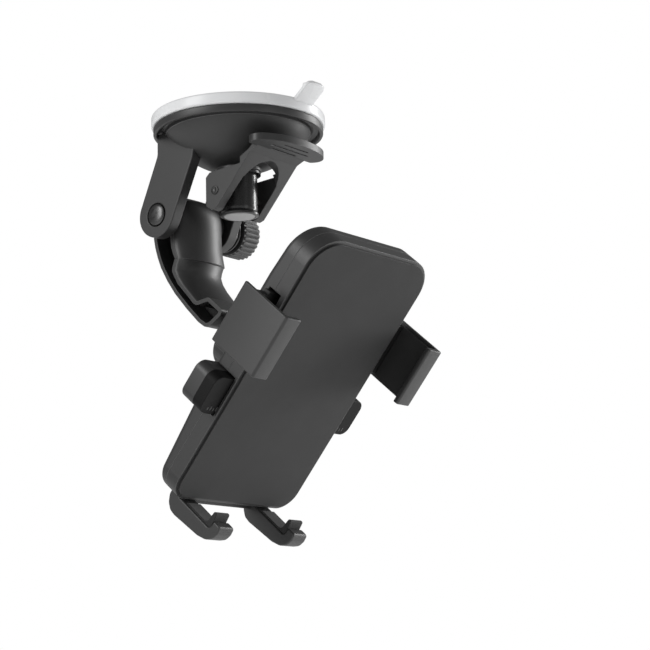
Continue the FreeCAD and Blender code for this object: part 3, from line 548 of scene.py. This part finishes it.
def lever():
    """Two cam plates and a slanted web with an arched window, and an oval tab with three lines."""
    side_view = [(4.0, -22.6), (4.0, -32.4), (1.6, -34.0), (-0.4, -33.4), (-15.2, -17.2),
                 (-18.6, -15.9), (-19.2, -13.6), (-18.3, -13.5), (-14.4, -16.5), (-11.0, -18.2),
                 (-10.9, -20.4), (-7.4, -20.6), (0.6, -21.0), (2.4, -21.2)]
    eases = [0.6, 1.2, 0.8, 0.8, 2.0, 0.6, 0.3, 0.3, 1.0, 0.3, 0.3, 1.0, 0.8, 0.8]
    body = piece("lever_body", prism(rounded(side_view, eases, 5), "X", -12.2, 12.2),
                 "thumb_lever", ABS, ["lever"], bevel=0.35)
    window = [(-8.7, -45.0), (8.7, -45.0), *arc((0, -26.8), (8.7, 8.8), 0, math.pi, 24)]
    room = [(6, -20.0), (6, -36), (-3, -36), (-9.0, -26.5), (-9.6, -20.0)]
    carve(body, prism(window, "Y", -30, 10), prism(room, "X", -8.5, 8.5),
          bar("Z", (0, 0), 6.9, -40, -19.9))
    straight_edge = -17.9
    oval = [(x, min(straight_edge, y))
            for x, y in arc((0, -20.8), (17.0, 7.6), 0, 2 * math.pi, 72)[:-1]]
    tab = piece("lever_tab", prism(oval, "Z", -15.9, -13.5), "thumb_lever", ABS, bevel=0.55,
                segments=4)
    lines = []
    for reach, y in ((6.2, -24.8), (9.2, -22.1), (6.2, -19.4)):
        low, high = y - 0.4, y + 0.4
        slit = rounded([(-reach, low), (reach, low), (reach, high), (-reach, high)], 0.39, 4)
        lines.append(prism(slit, "Z", -17.0, -15.1))
    carve(tab, *lines)


def pin():
    """The lever's pin: a rod, and a blackened dished end on each side."""
    dished = [(0, 0), (1.45, 0), (1.45, 0.34), (0.95, 0.42), (0.8, 0.2), (0, 0.2)]
    end = rounded(dished, 0.05, 2)
    for side, name in SIDES.items():
        outwards = Matrix.Rotation(side * math.pi / 2, 4, "Y")
        place = Matrix.Translation((side * 12.15, 0, LEVER_PIN_Z)) @ outwards
        piece(f"pin_end_{name}", lathe(end, 40), "thumb_lever", BLACKENED, ["lever_pin"], place)
    rod = [(0, -12.1), (1.5, -12.1), (1.5, 12.1), (0, 12.1)]
    piece("pin_rod", lathe(rod, 40), "thumb_lever", STEEL, ["lever_pin"],
          Matrix.Translation((0, 0, LEVER_PIN_Z)) @ ALONG_X)


# ---------------------------------------------------------------- pivot, knob and arm

def pivot():
    """Domed bolt head in its sink, washers, a stepped collar and the ribbed knob."""
    bolt = [(0, -17.15), (1.2, -17.12), (2.3, -17.0), (3.1, -16.8), (3.55, -16.5), (3.7, -16.1),
            (3.7, -15.7), (1.95, -15.6), (1.95, 25.6), (0, 25.6)]
    piece("bolt_head", lathe(bolt, 72), "base", BRIGHT, ["pivot_bolt"], AT_PIVOT)
    keep("friction_washer_left", ACETAL)
    keep("friction_washer_right", ACETAL)
    steps = [(2.1, 16.65), (6.9, 16.65), (6.9, 17.5), (5.9, 17.7), (5.9, 18.0), (6.9, 18.2),
             (6.9, 18.9), (6.0, 19.1), (6.0, 19.65), (2.1, 19.65)]
    piece("collar_rings", lathe(eased(steps, 0.12, 3), 96), "base", BLACK_GLOSS,
          ["knob_collar"], AT_PIVOT)
    keep("knob_nut", STEEL)

    def ribs(turn, radius, height):
        if radius < 7.0 or not 20.3 < height < 27.9:
            return 0
        return 0.62 * abs(math.cos(13 * turn)) ** 0.8 - 0.15

    knob = [(0, 19.8), (7.2, 19.8), (7.6, 20.0), (7.6, 20.28), (7.5, 20.5), (7.5, 21.5),
            (7.5, 27.0), (7.5, 27.7), (7.4, 28.0), (7.1, 28.2), (6.6, 28.25), (6.2, 28.1),
            (5.9, 27.9), (3.0, 27.85), (0, 27.85)]
    piece("knob_grip", lathe(knob, 312, ribs), "pivot_knob", ABS, ["knob"], AT_PIVOT, sharp=50)


def neck_rows():
    """Rows across the arm's half-round front: its two edges, its bulge, and a flat back."""
    stations = [
        ((23.0, -25.5), (22.4, -25.3)), ((20.6, -25.8), (18.4, -25.6)),
        ((19.2, -27.4), (15.6, -27.0)), ((18.6, -30.0), (13.8, -29.8)),
        ((19.3, -33.4), (13.0, -33.2)), ((19.7, -37.0), (12.8, -36.8)),
        ((19.6, -40.4), (12.7, -40.4)), ((19.3, -43.4), (12.5, -43.6)),
        ((18.5, -45.8), (12.2, -46.2)), ((17.7, -47.5), (12.2, -48.2)),
        ((17.9, -47.9), (12.9, -48.5)), ((18.6, -49.6), (13.2, -49.8)),
        ((19.1, -51.4), (13.2, -51.6)), ((17.9, -53.8), (12.6, -53.8)),
        ((15.75, -56.8), (11.0, -56.6)), ((12.65, -60.2), (8.6, -59.8)),
        ((9.6, -63.6), (6.2, -62.9)),
    ]
    half_width, back_depth = 11.0, 1.5
    rows = []
    for index, (edge, middle) in enumerate(stations):
        edge, middle = Vector(edge), Vector(middle)
        power = 1.1 + 0.35 * min(1.0, max(0.0, (index - 9) / 4))
        row = []
        for step in range(41):
            turn = math.pi * step / 40
            spot = edge.lerp(middle, max(0.0, math.sin(turn)) ** power)
            row.append((-half_width * math.cos(turn), spot.x, spot.y))
        back = edge + (edge - middle).normalized() * back_depth
        rows.append(row + [(half_width, *back), (-half_width, *back)])
    return rows


def arm():
    """Boomerang arm: hub, half-round front, a rim round both side pockets, and the ball."""
    hub = [(0, -11.6), (5.2, -11.6), (5.6, -11.2), (5.6, 11.2), (5.2, 11.6), (0, 11.6)]
    piece("arm_hub", lathe(hub, 96), "swing_arm", ABS, ["arm"], AT_PIVOT)
    piece("arm_neck", grid(neck_rows(), closed=True), "swing_arm", ABS, sharp=24)
    loop = [(28.1, -33.6), (28.7, -39.0), (28.1, -42.2), (27.0, -45.8), (25.5, -49.6),
            (22.6, -54.6), (19.2, -59.4), (14.1, -65.2), (9.0, -70.4), (6.0, -72.6),
            (3.9, -72.4), (-0.7, -69.6), (-1.5, -67.9), (4.4, -62.75), (9.7, -63.4),
            (17.1, -55.3), (19.3, -51.0), (17.9, -47.4), (19.6, -43.0), (19.8, -34.0)]
    eases = [0, 3, 3, 3, 4, 6, 6, 8, 4, 2.4, 2.4, 1.6, 2.0, 1.6, 1.2, 1.5, 1.0, 0.8, 2.0, 0]
    outer = turned_way(rounded(loop, eases, 6))
    rim = prism(outer, "X", -11.05, 11.05, hole=inset(outer, 1.25))
    piece("arm_rim", rim, "swing_arm", ABS, bevel=0.3, segments=2)
    # The web takes the darker plastic copy: painted shade deep in the side pockets.
    piece("arm_web", prism(inset(outer, 0.7), "X", -1.8, 1.8), "swing_arm", ABS_PAINTED_SHADE)
    stud = [(0, -11.0), (3.6, -11.0), (3.6, -8.4), (3.8, -7.8), (STUD_RADIUS, -7.4)]
    ball = arc((0, 0), (BALL_RADIUS, BALL_RADIUS), -math.acos(STUD_RADIUS / BALL_RADIUS),
               math.pi / 2, 32)
    profile = stud + ball[:-1] + [(0, BALL_RADIUS)]
    piece("arm_ball", lathe(profile, 72), "swing_arm", ACETAL, ["arm"], AT_BALL)


# ---------------------------------------------------------------- ball joint

def ball_joint():
    """Liner, slotted socket and the ring nut with its grip flutes."""
    keep("ball_liner", ACETAL)
    keep("ball_socket", ABS)

    def flutes(turn, radius, height):
        if radius < 12.0 or not -5.4 < height < 8.4:
            return 0
        return -0.35 * max(0.0, math.cos(16 * turn)) ** 3

    nut = [(9.3, -6.0), (11.6, -6.0), (12.15, -5.75), (12.3, -5.3), (12.3, -4.6), (12.3, 8.0),
           (12.2, 8.6), (11.9, 8.95), (10.9, 9.0), (10.9, -4.1), (9.5, -4.1), (9.3, -4.4),
           (9.3, -6.0)]
    piece("nut_ring", lathe(nut, 192, flutes), "ring_nut", ABS, ["lock_nut"], AT_BALL, sharp=45)


# ---------------------------------------------------------------- cradle

def cradle_shells():
    """Covers, pad, screws, gear and catch as the frame has them, and the wire springs."""
    kept = {"rear_cover": ABS, "front_cover": ABS, "front_pad": RUBBER, "cover_screws": STEEL,
            "pinion": ACETAL, "ratchet_pawl": ACETAL}
    for node, material in kept.items():
        keep(node, material)
    for name, inner_end in (("left_button_spring", -24.7), ("right_button_spring", 18.7)):
        place = CRADLE @ Matrix.Translation((inner_end, -10.5, -6.6)) @ ALONG_X
        coil(name + "_wire", "cradle", name, place, radius=1.5, wire=0.4, pitch=1.5, length=6.0)
    place = CRADLE @ Matrix.Translation((0, PINION_Y, -9.95))
    coil("clamp_spring_wire", "cradle", "clamp_spring", place, radius=3.0, wire=0.4, pitch=0.65,
         length=1.3)


def jaw(side):
    """Outer plate with chamfered edges and a front lip, the web behind it, rack and lining."""
    name = SIDES[side]
    body = f"{name}_jaw"
    low, high = PINION_Y - 10.7, PINION_Y + 10.7
    section = [(40.0, -9.35), (40.0, 11.95), (33.0, 11.95), (33.0, 9.95), (38.6, 9.95),
               (38.6, -9.35)]
    eases = [0.5, 0.9, 0.7, 0.4, 0.8, 0.3]
    hook = [(side * x, w) for x, w in rounded(section, eases, 5)]
    piece(f"{name}_jaw_plate", prism(hook, "Y", low, high), body, ABS, [f"{name}_clamp"],
          CRADLE, bevel=0.35)
    # Web and rack take the darker plastic copy: painted shade behind the plate.
    web = [(side * 31.0, -8.2), (side * 39.0, -8.2), (side * 39.0, -5.5), (side * 31.0, -5.5)]
    piece(f"{name}_jaw_web", prism(web, "Y", low + 1.4, high - 1.4), body, ABS_PAINTED_SHADE, (),
          CRADLE, bevel=0.2)
    piece(f"{name}_rack", prism(rack_outline(side), "Z", -8.2, -5.7), body, ABS_PAINTED_SHADE, (), CRADLE)
    keep(f"{name}_clamp_pad", RUBBER)


def rack_outline(side):
    """The rack bar's outline, toothed on the edge that faces the pinion."""
    pitch = 2 * math.pi * PINION_RADIUS / PINION_TEETH
    tooth_depth = 1.5
    near, far = PINION_Y - side * 5.9, PINION_Y - side * 10.3
    points = [(side * 31.4, far), (side * 31.4, near)]
    for tooth in range(12):
        x = side * (7.5 - tooth) * pitch
        for shift, depth in ((0.76, 0), (0.34, tooth_depth), (-0.34, tooth_depth), (-0.76, 0)):
            points.append((x + side * shift, near + side * depth))
    return points + [(-side * 12.0, near), (-side * 12.0, far)]


def button(side):
    """Release button: a rounded grey cap, a face in near-black painted shade with four small ticks,
    and its plunger.
    """
    name = SIDES[side]
    body = f"{name}_release"
    plan = [(side * 27.6, -14.6), (side * 37.0, -14.6), (side * 37.0, -1.0), (side * 27.6, -1.0)]
    cap = rounded(plan, [0.3, 3.2, 3.2, 0.3], 8)
    piece(f"{name}_button_cap", prism(cap, "Z", -12.0, -6.2), body, ABS, [f"{name}_button"],
          CRADLE, bevel=0.9, segments=5)
    face = inset(turned_way(cap), 0.1)
    piece(f"{name}_button_face", prism(face, "Z", -7.4, -1.9), body, BLACK_PAINTED_SHADE, (), CRADLE,
          bevel=0.5)
    for index in range(4):
        middle = side * 31.6 + (index - 1.5) * 1.3
        near, far = middle - 0.16, middle + 0.16
        low, high = -13.2, -12.2 + 0.5 * (index % 2)
        tick = rounded([(near, low), (far, low), (far, high), (near, high)], 0.12, 3)
        piece(f"{name}_button_tick_{index}", prism(tick, "Z", -2.0, -1.84), body, ABS, (), CRADLE)
    # Spigot and rod take the darker plastic copy: painted shade inside the cradle.
    spigot = bar("X", (-10.5, -6.6), 0.9, *sorted((side * 24.9, side * 28.5)))
    piece(f"{name}_button_spigot", spigot, body, ABS_PAINTED_SHADE, (), CRADLE, bevel=0.2)
    rod = [(side * 28.5, -6.4), (side * 7.0, -6.4), (side * 4.8, -4.2), (side * 28.5, -4.2)]
    piece(f"{name}_button_rod", prism(rod, "Z", -5.1, -3.1), body, ABS_PAINTED_SHADE, (), CRADLE,
          bevel=0.15)


def feet():
    """Sliding plate, two J-shaped feet with rounded undersides, the bar and the rubber linings."""
    profile = [(-30, -7.4), (-47.8, -7.4), (-50.2, -6.0), (-51.7, -3.9), (-52.0, -1.5),
               (-51.0, 10.6), (-50.0, 14.2), (-48.0, 16.5), (-45.8, 17.2), (-43.3, 17.0),
               (-43.3, 13.6), (-46.2, 13.6), (-46.2, -3.6), (-30, -3.6)]
    eases = [0, 2.5, 3, 2.5, 3, 5, 4, 3, 1.5, 0.9, 0.5, 1.6, 0.8, 0]
    foot = rounded(profile, eases, 7)
    lining = rounded([(-46.2, 0.5), (-46.2, 13.6), (-40.9, 12.9), (-40.9, 11.6), (-45.6, 11.0),
                      (-45.6, 0.5)], [0.2, 0.2, 0.6, 0.6, 1.4, 0.4], 5)
    for side, name in SIDES.items():
        middle = side * 18.25
        piece(f"{name}_foot", prism(foot, "X", middle - 3.5, middle + 3.5), "feet", ABS,
              ["foot_bracket"], CRADLE, bevel=0.5, segments=4)
        piece(f"{name}_foot_lining", prism(lining, "X", middle - 3.1, middle + 3.1), "feet",
              RUBBER, ["foot_pads"], CRADLE, bevel=0.25)
    # Plate and bar take the darker plastic copy: painted shade between the feet.
    plate = rounded([(-21.75, -31), (21.75, -31), (21.75, -16), (-21.75, -16)], 2.0, 5)
    piece("feet_plate", prism(plate, "Z", -7.4, -5.6), "feet", ABS_PAINTED_SHADE, (), CRADLE, bevel=0.2)
    beam = rounded([(-48.4, -7.0), (-46.0, -7.0), (-46.0, -3.6), (-48.4, -3.6)], 0.5, 4)
    piece("feet_bar", prism(beam, "X", -15.5, 15.5), "feet", ABS_PAINTED_SHADE, (), CRADLE)


# ---------------------------------------------------------------- light, floor and camera

def area_light(name, at, aim, width, height, power):
    """A white softbox at a place in metres, turned to face a point."""
    data = bpy.data.lights.new(name, "AREA")
    data.shape = "RECTANGLE"
    data.size = width
    data.size_y = height
    data.energy = power
    obj = bpy.data.objects.new(name, data)
    bpy.context.collection.objects.link(obj)
    obj.location = at
    obj.rotation_euler = (Vector(aim) - Vector(at)).to_track_quat("-Z", "Y").to_euler()


def surround():
    """White world, full to the camera and faint as a light, so the plastic keeps its dark tone."""
    world = bpy.data.worlds.new("pale_surround")
    bpy.context.scene.world = world
    world.use_nodes = True
    tree = world.node_tree
    sky = tree.nodes["Background"]
    sky.inputs["Color"].default_value = colour("ffffff")
    seen = add(tree, "ShaderNodeLightPath").outputs["Is Camera Ray"]
    power = add(tree, "ShaderNodeMapRange", i0=seen, i3=0.22, i4=1.0)
    tree.links.new(power.outputs[0], sky.inputs["Strength"])


def floor():
    """A wide pale floor, in metres, well below the mount."""
    half_size, level = 9.0, -0.45
    data = bpy.data.meshes.new("floor")
    mesh = bmesh.new()
    bmesh.ops.create_grid(mesh, x_segments=1, y_segments=1, size=half_size)
    mesh.to_mesh(data)
    mesh.free()
    ground = bpy.data.objects.new("floor", data)
    ground.location = (0, 0, level)
    bpy.context.collection.objects.link(ground)
    made, tree, shader, place = start("pale_floor")
    cloud = add(tree, "ShaderNodeTexNoise", Vector=place, Scale=3.0)
    tone = add(tree, "ShaderNodeMix", {"data_type": "RGBA"}, i0=cloud.outputs["Fac"],
               i6=colour("ececec"), i7=colour("f4f4f4"))
    tree.links.new(tone.outputs[2], shader.inputs["Base Color"])
    tree.links.new(tone.outputs[2], shader.inputs["Emission Color"])
    shader.inputs["Emission Strength"].default_value = 0.4
    shader.inputs["Roughness"].default_value = 0.8
    data.materials.append(made)


def lights():
    """Three softboxes: one above on the left, a weak one in front and a strong one on the right."""
    middle = (0, 0, -0.06)
    area_light("key", (-0.75, 0.25, 0.25), middle, 0.35, 0.6, 3.6)
    area_light("fill", (-0.1, -0.95, -0.15), middle, 0.3, 0.8, 0.6)
    area_light("side", (0.85, -0.35, 0.1), middle, 0.2, 0.8, 7.0)


def camera():
    """Camera below and to the left of the mount, looking up at it."""
    data = bpy.data.cameras.new("view")
    data.sensor_width = 36
    data.lens = 106.68
    data.clip_start = 0.01
    data.clip_end = 20
    stand = (-0.4721, -0.4060, -0.1966)
    obj = bpy.data.objects.new("view", data)
    bpy.context.collection.objects.link(obj)
    right = Vector((0.621, -0.7834, -0.0217)).normalized()
    ahead = Vector((0.771, 0.6056, 0.1968)).normalized()
    up = right.cross(ahead).normalized()
    right = ahead.cross(up).normalized()
    turn = Matrix((right, up, -ahead)).transposed().to_4x4()
    obj.matrix_world = Matrix.Translation(stand) @ turn
    bpy.context.scene.camera = obj


suction_cup()
pull_tab()
base_cap()
stem()
lever()
pin()
pivot()
arm()
ball_joint()
cradle_shells()
for hand in SIDES:
    jaw(hand)
for hand in SIDES:
    button(hand)
feet()
surround()
floor()
lights()
camera()
bpy.context.scene.view_settings.view_transform = "Standard"
